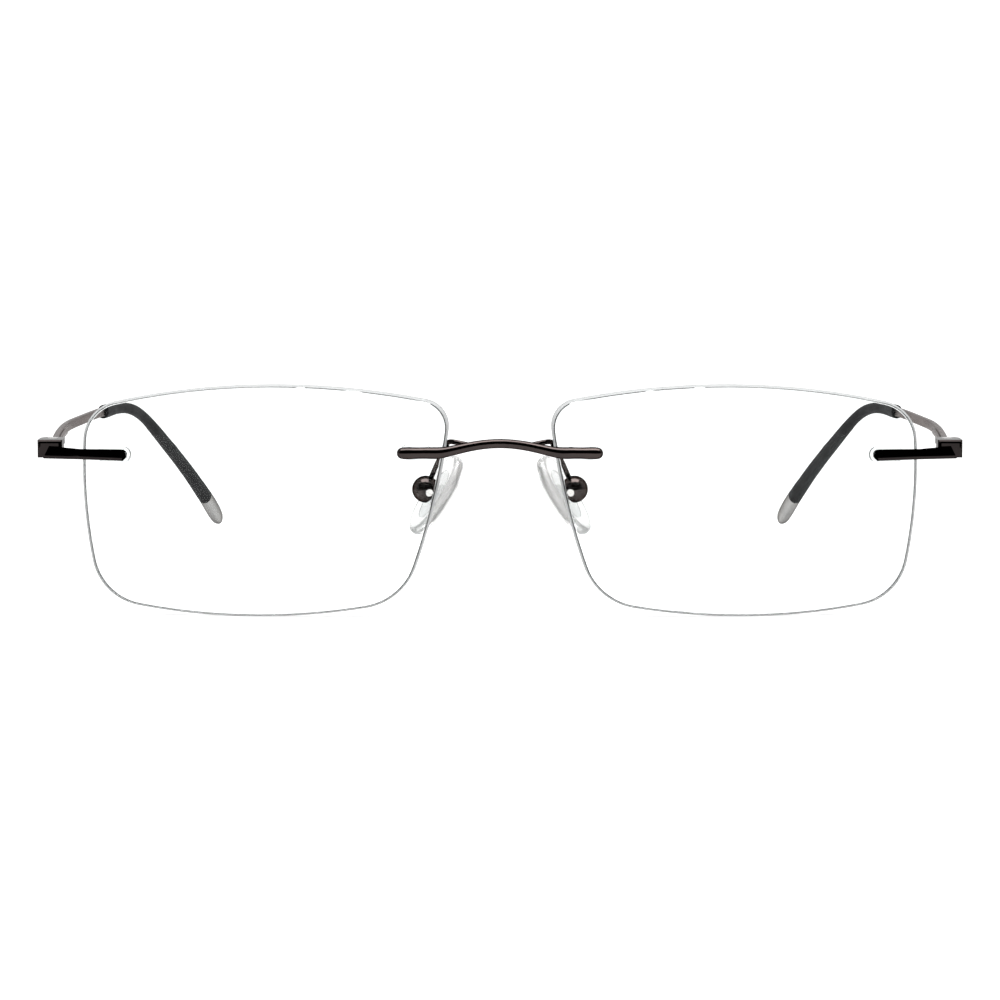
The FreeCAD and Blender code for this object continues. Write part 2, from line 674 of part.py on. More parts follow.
def pad_place():
    """The pad's frame: origin on its screw, +X along the screw, +Z from cup to pad."""
    spread = math.radians(size("pad_spread"))
    splay = math.radians(size("pad_splay"))
    level = Vec(-math.cos(spread), 0, -math.sin(spread))
    out = level * math.cos(splay) + Y_AXIS * math.sin(splay)
    screw = Y_AXIS * math.cos(splay) - level * math.sin(splay)
    origin = Vec(size("pad_across"), size("pad_setback"), size("pad_height"))
    return FreeCAD.Placement(origin, FreeCAD.Rotation(screw, out.cross(screw), out, "ZXY"))


def along_screw(x):
    """A placement x along the pad screw, with its own Z along the screw."""
    turn = FreeCAD.Rotation(Y_AXIS, 90)
    return pad_place() * FreeCAD.Placement(Vec(x, 0, 0), turn)


def make_cup():
    """The cup on the end of the pad arm: a ball cut open to the pad, drilled for its screw."""
    ball = add("Part::Sphere", "PadCupBall", Radius="Sheet.cup_radius",
               Angle2="asin(Sheet.cup_rim / Sheet.cup_radius)")
    ball.Placement = pad_place()
    cavity = rod("CupCavity", "Sheet.cup_radius - Sheet.cup_wall",
                 "Sheet.cup_depth + 2 * Sheet.cup_rim",
                 pad_place() * FreeCAD.Placement(Vec(0, 0, -size("cup_depth")), NO_TURN))
    through = rod("CupThread", "Sheet.pad_screw_radius + Sheet.fit_gap",
                  "4 * Sheet.cup_radius", along_screw(-2 * size("cup_radius")))
    recess = rod("CupRecess", "Sheet.pad_head_radius + Sheet.fit_gap * 4", "Sheet.cup_radius",
                 along_screw(-2 * size("cup_radius") + size("pad_head_depth")))
    return cut("LeftPadCup", ball, fuse("CupHoles", cavity, through, recess))


def make_pad_screw():
    """The screw across the cup that the pad rocks on, its slotted head to the front."""
    start = -size("cup_radius") - 0.05
    shank = rod("PadShank", "Sheet.pad_screw_radius", "2 * Sheet.cup_radius", along_screw(start))
    head = rod("PadHead", "Sheet.pad_head_radius", "Sheet.pad_head_depth", along_screw(start))
    slot = add("Part::Box", "PadSlot", Length="4 * Sheet.pad_head_radius",
               Width="Sheet.slot_width", Height="2 * Sheet.slot_depth")
    slot.Placement = along_screw(start) * FreeCAD.Placement(
        Vec(-2 * size("pad_head_radius"), -size("slot_width") / 2, -size("slot_depth")), NO_TURN)
    return cut("LeftPadScrew", fuse("PadScrewSolid", shank, head), slot)


def pad_layer(length, width, heights, power):
    """A solid over the pad's oval, lofted through (height, share of size) layers."""
    rings = [ring(Vec(0, 0, height), Vec(1, 0, 0), Y_AXIS, width * share, length * share, power)
             for height, share in heights]
    return Part.makeLoft(rings, True, False)


def make_pad():
    """The silicone pad and the stiff plate inside it, whose tab hangs on the pad screw."""
    back = size("pad_standoff")
    thick = size("pad_thickness")
    layers = ((0.0, 0.90), (0.12, 0.965), (0.3, 1.0), (0.48, 0.985), (0.66, 0.92), (0.82, 0.79),
              (0.93, 0.6), (1.0, 0.38))
    soft = pad_layer(size("pad_length"), size("pad_width"),
                     [(back + share * thick, oval) for share, oval in layers], 2.3)
    plate_low = back + size("plate_thickness") / 2
    plate = pad_layer(size("plate_length"), size("plate_width"),
                      [(plate_low, 1.0), (plate_low + size("plate_thickness"), 1.0)], 2.3)
    tab = Part.makeBox(size("tab_width"), size("tab_height"), plate_low + size("tab_reach"),
                       Vec(-size("tab_width") / 2, -size("tab_height") / 2, -size("tab_reach")))
    heel = tab.makeFillet(size("tab_reach") * 0.8, [
        edge for edge in tab.Edges
        if edge.BoundBox.XLength > 1 and edge.BoundBox.ZMax < 0])
    eye = Part.makeCylinder(size("pad_screw_radius") + size("running_gap"),
                            2 * size("tab_width"), Vec(-size("tab_width"), 0, 0), Vec(1, 0, 0))
    core = heel.fuse(plate).cut(eye)
    place = pad_place()
    core_item = feature("LeftPadCore", core.transformGeometry(place.toMatrix()))
    soft_item = feature("LeftNosePad", soft.cut(core).transformGeometry(place.toMatrix()))
    return {"LeftPadCore": core_item, "LeftNosePad": soft_item}


def make_arm(bridge):
    """The pad arm: a wire brazed behind the bridge, which loops over and down to the cup."""
    place = pad_place()
    wall_middle = size("cup_radius") - size("cup_wall") / 2
    end = place.multVec(Vec(0, -wall_middle, -0.2))
    wire = bridge.slice(Vec(1, 0, 0), size("arm_root"))[0].BoundBox
    root = Vec(size("arm_root"), wire.YMax - size("arm_radius"), wire.Center.z)
    poles = (
        root,
        root + Vec(1.2, 1.5, 0.15),
        root + Vec(3.5, 1.8, 0.6),
        root + Vec(3.9, 4.6, 0.0),
        end + Vec(-1.1, -1.9, 2.7),
        end + Vec(-0.35, -0.6, 0.9),
        end,
    )
    path = smooth_path(list(poles))
    thick = 2 * size("arm_radius")
    return tube(path, [(distance, thick, thick) for distance in spaced(0, path.Length, 26)])


# --- The whole ----------------------------------------------------------------------------


def make_left_pieces():
    """Every piece of the wearer's left side, by the name of its node."""
    pieces = {
        "left_lens": make_lens(),
        "left_bridge_plug": make_plug("LeftBridgePlug", bridge_seat()),
        "left_end_plug": make_plug("LeftEndPlug", end_seat()),
        "left_bridge_pins": make_pins("LeftBridgePins", bridge_seat(), -size("seat_gap")),
        "left_end_pins": make_pins("LeftEndPins", end_seat(), -size("seat_gap")),
        "left_end_piece": make_end_piece(),
        "left_hinge_screw": make_hinge_screw(),
        "left_pad_cup": make_cup(),
        "left_pad_screw": make_pad_screw(),
    }
    temple = make_temple()
    pieces["left_temple"] = temple["LeftTemple"]
    pieces["left_hinge_leaf"] = temple["LeftHingeLeaf"]
    pieces["left_temple_sleeve"] = temple["LeftTempleSleeve"]
    pieces["left_tip_cap"] = temple["LeftTipCap"]
    pad = make_pad()
    pieces["left_pad_core"] = pad["LeftPadCore"]
    pieces["left_nose_pad"] = pad["LeftNosePad"]
    return pieces


def mirror_right(pieces):
    """The wearer's right side, mirrored across the middle of the bridge."""
    mirrored = {}
    for node, piece in pieces.items():
        other = doc.addObject("Part::Mirroring", f"{piece.Name}Mirrored")
        other.Source = piece
        other.Normal = Vec(1, 0, 0)
        mirrored[node.replace("left_", "right_")] = other
    return mirrored


def stand(pieces):
    """Stand the open glasses on Z = 0, with their box centred front to back."""
    for piece in pieces.values():
        bind(piece, Placement__Base__y="Sheet.stand_y", Placement__Base__z="Sheet.stand_z")
    doc.recompute()
    box = FreeCAD.BoundBox()
    for piece in pieces.values():
        box.add(piece.Shape.optimalBoundingBox())
    for offset, value in enumerate((-box.Center.y, -box.ZMin), start=len(SIZES) + 1):
        sheet.set(f"A{offset}", str(value))
    doc.recompute()


def check(pieces):
    """Stop on any object that failed and any sub-part that isn't a valid solid."""
    for item in doc.Objects:
        if {"Invalid", "Error"} & set(item.State):
            raise RuntimeError(f"{item.Name} failed: {item.State}")
    for node, piece in pieces.items():
        shape = piece.Shape
        if shape.isNull() or not shape.isValid() or not shape.Solids:
            raise RuntimeError(f"{node} has no valid solid")


def write(pieces):
    """Write one STEP file for each sub-part."""
    os.makedirs("parts", exist_ok=True)
    for node, piece in pieces.items():
        piece.Label = node
        piece.Shape.exportStep(f"parts/{node}.step")


def main():
    fill_sheet()
    left = make_left_pieces()
    bridge = make_bridge()
    doc.recompute()
    arm = make_arm(bridge.Shape).cut(left["left_pad_cup"].Shape)
    left["left_pad_arm"] = feature("LeftPadArm", arm)
    stand({**left, "bridge": bridge})
    pieces = {"bridge": bridge, **left, **mirror_right(left)}
    doc.recompute()
    check(pieces)
    write(pieces)
    print(len(pieces), "sub-parts; stand_y", sheet.get("stand_y"), "stand_z", sheet.get("stand_z"))


main()
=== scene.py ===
"""Studio scene of rimless eyeglasses: drilled clear lenses, gunmetal mounts, soft clear pads.

Every length is in metres, in the frame's own axes: +X to the wearer's left, +Y from the lenses
back to the ears and +Z up from the table. Millimetre sizes are written as 0.5 * MM.
"""

import json
import logging
import math
from dataclasses import dataclass, field
from enum import Enum
from typing import Dict, Iterable, List, Optional, Sequence, Tuple

import bmesh
import bpy
from mathutils import Matrix, Vector

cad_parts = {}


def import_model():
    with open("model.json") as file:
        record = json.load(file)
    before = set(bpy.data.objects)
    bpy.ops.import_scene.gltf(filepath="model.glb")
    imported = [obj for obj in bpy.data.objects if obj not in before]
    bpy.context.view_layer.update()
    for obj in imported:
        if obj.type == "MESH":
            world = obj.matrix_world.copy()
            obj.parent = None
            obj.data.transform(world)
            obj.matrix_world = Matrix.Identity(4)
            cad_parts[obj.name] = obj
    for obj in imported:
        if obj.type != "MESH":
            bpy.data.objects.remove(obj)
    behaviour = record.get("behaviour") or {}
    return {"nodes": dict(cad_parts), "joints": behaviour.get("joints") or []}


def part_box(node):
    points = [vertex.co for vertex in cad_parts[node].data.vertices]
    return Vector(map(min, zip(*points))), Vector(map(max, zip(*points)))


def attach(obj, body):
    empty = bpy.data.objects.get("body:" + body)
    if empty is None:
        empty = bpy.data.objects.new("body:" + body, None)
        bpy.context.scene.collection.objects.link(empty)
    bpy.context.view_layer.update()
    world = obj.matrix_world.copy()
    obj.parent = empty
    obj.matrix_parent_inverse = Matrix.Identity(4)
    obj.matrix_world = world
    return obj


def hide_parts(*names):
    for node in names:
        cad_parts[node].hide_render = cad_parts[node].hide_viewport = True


LOG = logging.getLogger("eyeglasses")
MM = 0.001
# Where the ramp over a noise starts and ends, and how rough the noise's octaves are.
RAMP_START = 0.32
RAMP_END = 0.68
OCTAVE_ROUGHNESS = 0.6


class Side(Enum):
    """The wearer's left and right, with the sign of X on each."""

    LEFT = 1
    RIGHT = -1

    @property
    def word(self) -> str:
        """The side's name as the nodes and bodies use it."""
        return self.name.lower()


# --- Colour and shader helpers ------------------------------------------------------------


def srgb(hex_code: str) -> Tuple[float, float, float, float]:
    """Turn an sRGB hex colour into the linear colour that a shader takes.

    Args:
        hex_code: six hex digits with a leading hash.

    Returns:
        Linear red, green and blue with an alpha of one.
    """
    channels = [int(hex_code[index:index + 2], 16) / 255 for index in (1, 3, 5)]
    linear = [value / 12.92 if value <= 0.04045 else ((value + 0.055) / 1.055) ** 2.4
              for value in channels]
    return (linear[0], linear[1], linear[2], 1.0)


def add_node(tree: bpy.types.NodeTree, kind: str, inputs: Optional[Dict[str, object]] = None,
             links: Optional[Dict[str, bpy.types.NodeSocket]] = None,
             **settings: object) -> bpy.types.Node:
    """Add a shader node with its settings, input values and incoming links.

    Args:
        tree: the node tree to add to.
        kind: the node's type name.
        inputs: values for input sockets, by socket name.
        links: output sockets to connect, by input socket name.
        settings: properties of the node itself.

    Returns:
        The new node.
    """
    node = tree.nodes.new(kind)
    for name, value in settings.items():
        setattr(node, name, value)
    for name, value in (inputs or {}).items():
        node.inputs[name].default_value = value
    for name, source in (links or {}).items():
        tree.links.new(source, node.inputs[name])
    return node


def per_metre(spacing_mm: float) -> float:
    """The texture scale that repeats a pattern about every so many millimetres."""
    return 1.0 / (spacing_mm * MM)


@dataclass(frozen=True)
class Finish:
    """One surface finish; a subclass adds its pattern."""

    name: str
    colour: str
    roughness: float

    def start(self) -> Tuple[bpy.types.Material, bpy.types.NodeTree, bpy.types.NodeSocket]:
        """Start an empty material.

        Returns:
            The material, its node tree and object coordinates.
        """
        material = bpy.data.materials.new(self.name)
        material.use_nodes = True
        tree = material.node_tree
        tree.nodes.clear()
        return material, tree, add_node(tree, "ShaderNodeTexCoord").outputs["Object"]

    def build(self) -> bpy.types.Material:
        """Make the material.

        Returns:
            A node material with this finish.
        """
        material, tree, place = self.start()
        surface = add_node(tree, "ShaderNodeBsdfPrincipled",
                           {"Base Color": srgb(self.colour), "Roughness": self.roughness})
        add_node(tree, "ShaderNodeOutputMaterial", links={"Surface": surface.outputs["BSDF"]})
        self.pattern(tree, surface, place)
        return material

    def pattern(self, tree: bpy.types.NodeTree, surface: bpy.types.Node,
                place: bpy.types.NodeSocket) -> None:
        """Add the finish's own pattern to its surface shader.

        Args:
            tree: the material's node tree.
            surface: its surface shader.
            place: object coordinates.
        """

    def vary(self, tree: bpy.types.NodeTree, place: bpy.types.NodeSocket, spacing_mm: float,
             low: object, high: object, stretch: Sequence[float] = (1, 1, 1),
             detail: float = 4.0) -> bpy.types.Node:
        """A noise mapped between two colours or greys.

        Args:
            tree: the material's node tree.
            place: coordinates to read.
            spacing_mm: about how far apart the pattern's features are.
            low: ramp colour where the noise is low.
            high: ramp colour where the noise is high.
            stretch: scale along X, Y and Z before the noise.
            detail: octaves of the noise.

        Returns:
            The colour ramp node.
        """
        mapping = add_node(tree, "ShaderNodeMapping", {"Scale": tuple(stretch)},
                           {"Vector": place})
        noise = add_node(tree, "ShaderNodeTexNoise",
                         {"Scale": per_metre(spacing_mm), "Detail": detail,
                          "Roughness": OCTAVE_ROUGHNESS},
                         {"Vector": mapping.outputs["Vector"]})
        ramp = add_node(tree, "ShaderNodeValToRGB", links={"Fac": noise.outputs["Fac"]})
        ramp.color_ramp.elements[0].position = RAMP_START
        ramp.color_ramp.elements[1].position = RAMP_END
        ramp.color_ramp.elements[0].color = low
        ramp.color_ramp.elements[1].color = high
        return ramp

    def relief(self, tree: bpy.types.NodeTree, surface: bpy.types.Node,
               height: bpy.types.NodeSocket, depth_mm: float, strength: float) -> None:
        """Raise and lower the surface by a height pattern.

        Args:
            tree: the material's node tree.
            surface: the surface shader.
            height: the pattern to use as height.
            depth_mm: height of the pattern.
            strength: how strongly it shows.
        """
        bump = add_node(tree, "ShaderNodeBump", {"Strength": strength, "Distance": depth_mm * MM},
                        {"Height": height})
        tree.links.new(bump.outputs["Normal"], surface.inputs["Normal"])


def grey(value: float) -> Tuple[float, float, float, float]:
    """A linear grey."""
    return (value, value, value, 1.0)


@dataclass(frozen=True)
class PlatedMetal(Finish):
    """Gunmetal (black nickel) plating over polished or satin steel wire.

    Plating follows the wire's drawing marks, so the eye sees faint lines along the piece and a
    slight warm cast where the plating is thin.
    """

    worn: str = "#5a5350"
    glance: str = "#8a8786"
    line_mm: float = 0.12
    stretch: Tuple[float, float, float] = (1.0, 1.0, 1.0)
    swing: float = 0.25
    line_depth: float = 0.0015
    line_strength: float = 0.15

    def pattern(self, tree: bpy.types.NodeTree, surface: bpy.types.Node,
                place: bpy.types.NodeSocket) -> None:
        """Thin-plating cast, uneven gloss and fine drawing lines.

        Args:
            tree: the material's node tree.
            surface: its surface shader.
            place: object coordinates.
        """
        surface.inputs["Metallic"].default_value = 1.0
        surface.inputs["Specular Tint"].default_value = srgb(self.glance)
        cast = self.vary(tree, place, 6.0, srgb(self.colour), srgb(self.worn), detail=2.0)
        tree.links.new(cast.outputs["Color"], surface.inputs["Base Color"])
        low = self.roughness * (1 - self.swing)
        high = self.roughness * (1 + self.swing)
        gloss = self.vary(tree, place, 0.9, grey(low), grey(high), self.stretch)
        tree.links.new(gloss.outputs["Color"], surface.inputs["Roughness"])
        lines = self.vary(tree, place, self.line_mm, grey(0.0), grey(1.0), self.stretch)
        self.relief(tree, surface, lines.outputs["Color"], self.line_depth, self.line_strength)


@dataclass(frozen=True)
class TurnedSteel(Finish):
    """Stainless screws turned on a lathe: bright, with rings too fine to see singly."""

    def pattern(self, tree: bpy.types.NodeTree, surface: bpy.types.Node,
                place: bpy.types.NodeSocket) -> None:
        """Bright metal with a fine uneven gloss.

        Args:
            tree: the material's node tree.
            surface: its surface shader.
            place: object coordinates.
        """
        surface.inputs["Metallic"].default_value = 1.0
        gloss = self.vary(tree, place, 0.15, grey(self.roughness * 0.7),
                          grey(self.roughness * 1.4))
        tree.links.new(gloss.outputs["Color"], surface.inputs["Roughness"])
        # Turning marks are about 0.02 mm apart; drawn at 0.08 mm so that they show.
        rings = self.vary(tree, place, 0.08, grey(0.0), grey(1.0))
        self.relief(tree, surface, rings.outputs["Color"], 0.001, 0.2)


@dataclass(frozen=True)
class ClearMoulding(Finish):
    """Clear plastic or silicone, moulded or cast: light passes with a faint skin texture."""

    ior: float = 1.5
    clarity: float = 1.0
    skin_mm: float = 0.8
    skin_depth: float = 0.002
    skin_strength: float = 0.05
    haze: float = 0.02

    def pattern(self, tree: bpy.types.NodeTree, surface: bpy.types.Node,
                place: bpy.types.NodeSocket) -> None:
        """Clear body, slight haze that wanders over the surface, and a faint skin.

        Args:
            tree: the material's node tree.
            surface: its surface shader.
            place: object coordinates.
        """
        surface.inputs["Transmission Weight"].default_value = self.clarity
        surface.inputs["IOR"].default_value = self.ior
        gloss = self.vary(tree, place, 4.0, grey(self.roughness),
                          grey(self.roughness + self.haze), detail=2.0)
        tree.links.new(gloss.outputs["Color"], surface.inputs["Roughness"])
        skin = self.vary(tree, place, self.skin_mm, grey(0.0), grey(1.0), detail=2.0)
        self.relief(tree, surface, skin.outputs["Color"], self.skin_depth, self.skin_strength)


@dataclass(frozen=True)
class CoatedResin(Finish):
    """Polished lens resin under an anti-reflection coat.

    Almost all light goes straight through, so the eye sees what is behind it.
    """

    ior: float = 1.498
    reflected: float = 0.004

    def build(self) -> bpy.types.Material:
        """Make the material.

        Returns:
            A node material that refracts, with the coat's last trace of reflection.
        """
        material, tree, place = self.start()
        # A cast lens wanders by microns over a centimetre or so.
        wave = self.vary(tree, place, 12.0, grey(0.0), grey(1.0), detail=2.0)
        bump = add_node(tree, "ShaderNodeBump", {"Strength": 0.02, "Distance": 0.0005 * MM},
                        {"Height": wave.outputs["Color"]})
        cleaned = self.vary(tree, place, 5.0, grey(self.roughness), grey(self.roughness + 0.01))
        body = add_node(tree, "ShaderNodeBsdfRefraction",
                        {"Color": srgb(self.colour), "IOR": self.ior, "Roughness": 0.0},
                        {"Normal": bump.outputs["Normal"]})
        coat = add_node(tree, "ShaderNodeBsdfGlossy", {"Color": srgb("#e6ece8")},
                        {"Normal": bump.outputs["Normal"], "Roughness": cleaned.outputs["Color"]})
        both = add_node(tree, "ShaderNodeMixShader", {"Fac": self.reflected})
        tree.links.new(body.outputs["BSDF"], both.inputs[1])
        tree.links.new(coat.outputs["BSDF"], both.inputs[2])
        add_node(tree, "ShaderNodeOutputMaterial", links={"Surface": both.outputs["Shader"]})
        return material


@dataclass(frozen=True)
class SoftTouchRubber(Finish):
    """Rubberised temple sleeve: matt, nearly black, with a fine moulded grain."""

    rubbed: str = "#3a3a3b"
    grain_mm: float = 0.12

    def pattern(self, tree: bpy.types.NodeTree, surface: bpy.types.Node,
                place: bpy.types.NodeSocket) -> None:
        """Slightly lighter where it is rubbed, with a fine grain.

        Args:
            tree: the material's node tree.
            surface: its surface shader.
            place: object coordinates.
        """
        surface.inputs["Specular IOR Level"].default_value = 0.06
        tone = self.vary(tree, place, 5.0, srgb(self.colour), srgb(self.rubbed), detail=3.0)
        tree.links.new(tone.outputs["Color"], surface.inputs["Base Color"])
        gloss = self.vary(tree, place, 2.0, grey(self.roughness - 0.06),
                          grey(self.roughness + 0.08))
        tree.links.new(gloss.outputs["Color"], surface.inputs["Roughness"])
        grain = self.vary(tree, place, self.grain_mm, grey(0.0), grey(1.0))
        self.relief(tree, surface, grain.outputs["Color"], 0.003, 0.15)


@dataclass(frozen=True)
class StudioPaper(Finish):
    """Seamless white paper, lit from all round so that it looks almost white."""

    glow: float = 0.0

    def pattern(self, tree: bpy.types.NodeTree, surface: bpy.types.Node,
                place: bpy.types.NodeSocket) -> None:
        """Even white with the faintest mottling, lifted by the light through the paper.

        Args:
            tree: the material's node tree.
            surface: its surface shader.
            place: object coordinates.
        """
        surface.inputs["Specular IOR Level"].default_value = 0.1
        surface.inputs["Emission Color"].default_value = (1.0, 1.0, 1.0, 1.0)
        surface.inputs["Emission Strength"].default_value = self.glow
        tone = self.vary(tree, place, 60.0, grey(0.34), grey(0.37), detail=2.0)
        tree.links.new(tone.outputs["Color"], surface.inputs["Base Color"])


@dataclass
class Finishes:
    """The finishes of the whole pair, each built once."""

    # Wire polished before plating: deep dark mirror with thin highlights.
    polished: Finish = PlatedMetal("polished_gunmetal_plate", "#383332", 0.07, worn="#423b39",
                                   line_depth=0.0008, line_strength=0.08)
    # Painted shade: the fork block gets a darker copy of the polished gunmetal, so it looks
    # nearly black and mirrors the pale floor only faintly.
    block: Finish = PlatedMetal("polished_black_nickel_plate", "#262323", 0.06, worn="#2d2928",
                                glance="#6f6c6b", line_depth=0.0008, line_strength=0.08)
    # Brushed along the strip: a soft mid grey without sharp reflections.
    satin: Finish = PlatedMetal("satin_gunmetal_plate", "#aaa5a4", 0.28, worn="#b6b0ae",
                                stretch=(1.0, 0.08, 1.0), line_strength=0.25)
    # Cut from drawn wire and left as it comes: dull grey inside the clear plugs.
    wire: Finish = PlatedMetal("drawn_steel_pin", "#6a6664", 0.22)
    # Turned and unplated: the brightest metal of the pair.
    screw: Finish = TurnedSteel("turned_stainless_steel", "#d8d6d3", 0.2)
    # Cast, polished and coated, so it is seen by its rim more than by its faces.
    lens: Finish = CoatedResin("coated_cr39_lens_resin", "#fdfefe", 0.0)
    # Ground on a wheel and left unpolished, so the rim scatters and shows as a grey line.
    rim: Finish = ClearMoulding("ground_cr39_lens_edge", "#a8aaaa", 0.45, ior=1.498, haze=0.1,
                                clarity=0.5, skin_mm=0.1, skin_depth=0.002, skin_strength=0.15)
    # Moulded in a polished tool: clear, with a bright outline.
    nylon: Finish = ClearMoulding("clear_nylon_moulding", "#f6f8f8", 0.03, ior=1.53)
    # Moulded hard core, seen faintly through the pad.
    core: Finish = ClearMoulding("clear_polycarbonate_core", "#f2f4f4", 0.03, ior=1.58)
    # Moulded soft cushion: milky at its rim and clear in the middle.
    silicone: Finish = ClearMoulding("clear_silicone_rubber", "#f6f6f5", 0.12, ior=1.41,
                                     haze=0.08, clarity=0.8, skin_mm=0.6, skin_depth=0.006,
                                     skin_strength=0.12)
    # Moulded and rubberised: a matt near-black that scatters the light.
    rubber: Finish = SoftTouchRubber("soft_touch_rubber", "#1d1d1e", 0.6, rubbed="#2a2a2b")
    # Drawn cap with thin bright plating: an even light grey.
    cap: Finish = PlatedMetal("polished_nickel_cap", "#9b9a99", 0.2, worn="#a7a5a3",
                              line_strength=0.04)
    built: Dict[str, bpy.types.Material] = field(default_factory=dict)

    def get(self, word: str) -> bpy.types.Material:
        """The material of a named finish, built the first time it is asked for.

        Args:
            word: the name of one of this class's finishes.

        Returns:
            The finish's material.
        """
        if word not in self.built:
            self.built[word] = getattr(self, word).build()
        return self.built[word]


# --- Mesh helpers -------------------------------------------------------------------------


def dress(item: bpy.types.Object, material: bpy.types.Material) -> None:
    """Give an object one material in every slot."""
    item.data.materials.clear()
    item.data.materials.append(material)


def dress_node(name: str, material: bpy.types.Material) -> bpy.types.Object:
    """Dress a carried-over node.

    Args:
        name: the node's name.
        material: its material.

    Returns:
        The node's object.
    """
    item = NODES[name]
    dress(item, material)
    LOG.info("dressed %s in %s", name, material.name)
    return item


def soften(item: bpy.types.Object, width_mm: float, segments: int = 2) -> None:
    """Round an object's sharp edges as tumbling in a polishing barrel does.

    Args:
        item: the object.
        width_mm: width of the rounding.
        segments: how many faces the rounding has.
    """
    weld = item.modifiers.new("joined_faces", "WELD")
    weld.merge_threshold = 0.002 * MM
    bevel = item.modifiers.new("tumbled_edges", "BEVEL")
    bevel.width = width_mm * MM
    bevel.segments = segments
    bevel.limit_method = "ANGLE"
    bevel.angle_limit = math.radians(35)
    bevel.harden_normals = False


def mesh_object(name: str, points: Sequence[Vector], faces: Sequence[Sequence[int]],
                material: bpy.types.Material) -> bpy.types.Object:
    """A smooth-shaded object from points and faces.

    Args:
        name: the piece's name.
        points: vertex places.
        faces: vertex numbers of each face.
        material: its material.

    Returns:
        The new object, linked to the scene.
    """
    mesh = bpy.data.meshes.new(name)
    mesh.from_pydata([tuple(point) for point in points], [], [tuple(face) for face in faces])
    mesh.validate()
    work = bmesh.new()
    work.from_mesh(mesh)
    bmesh.ops.recalc_face_normals(work, faces=work.faces)
    for face in work.faces:
        face.smooth = True
    work.to_mesh(mesh)
    work.free()
    mesh.materials.append(material)
    item = bpy.data.objects.new(name, mesh)
    bpy.context.scene.collection.objects.link(item)
    return item


def skin_rings(rings: Sequence[Sequence[Vector]], capped: bool = True
               ) -> Tuple[List[Vector], List[List[int]]]:
    """Join closed rings of equal length into a tube.

    Args:
        rings: the rings, in order along the tube.
        capped: whether to close both ends with a fan.

    Returns:
        The points and the faces.
    """
    count = len(rings[0])
    points = [point for ring in rings for point in ring]
    faces = [[base + step, base + (step + 1) % count, base + count + (step + 1) % count,
              base + count + step]
             for base in range(0, count * (len(rings) - 1), count) for step in range(count)]
    if capped:
        for base, ring in ((0, rings[0]), (count * (len(rings) - 1), rings[-1])):
            points.append(sum(ring, Vector()) / count)
            middle = len(points) - 1
            faces += [[base + step, base + (step + 1) % count, middle] for step in range(count)]
    return points, faces


def oval(across: Vector, up: Vector, width: float, height: float, power: float,
         count: int) -> List[Vector]:
    """Offsets round a closed oval, from an ellipse at power 2 towards a rectangle.

    Args:
        across: unit direction of the width.
        up: unit direction of the height.
        width: full width.
        height: full height.
        power: squareness.
        count: number of points.

    Returns:
        The offsets from the oval's middle.
    """
    offsets = []
    for step in range(count):
        angle = 2 * math.pi * step / count
        along = math.copysign(abs(math.cos(angle)) ** (2 / power), math.cos(angle))
        over = math.copysign(abs(math.sin(angle)) ** (2 / power), math.sin(angle))
        offsets.append(across * (along * width / 2) + up * (over * height / 2))
    return offsets


def mirrored(point: Vector, side: Side) -> Vector:
    """A left-hand point moved to the given side."""
    return Vector((point.x * side.value, point.y, point.z))


# --- Temple sleeves and tip caps ----------------------------------------------------------


@dataclass
class Temples:
    """The folding sides: plated strip and leaf, rubber sleeve and metal tip cap."""

    finishes: Finishes

    def build(self) -> None:
        """Dress both temples."""
        for side in Side:
            word = side.word
            dress_node(f"{word}_temple", self.finishes.get("satin"))
            soften(dress_node(f"{word}_hinge_leaf", self.finishes.get("satin")), 0.06)
            dress_node(f"{word}_temple_sleeve", self.finishes.get("rubber"))
            dress_node(f"{word}_tip_cap", self.finishes.get("cap"))


# --- Nose pads ----------------------------------------------------------------------------


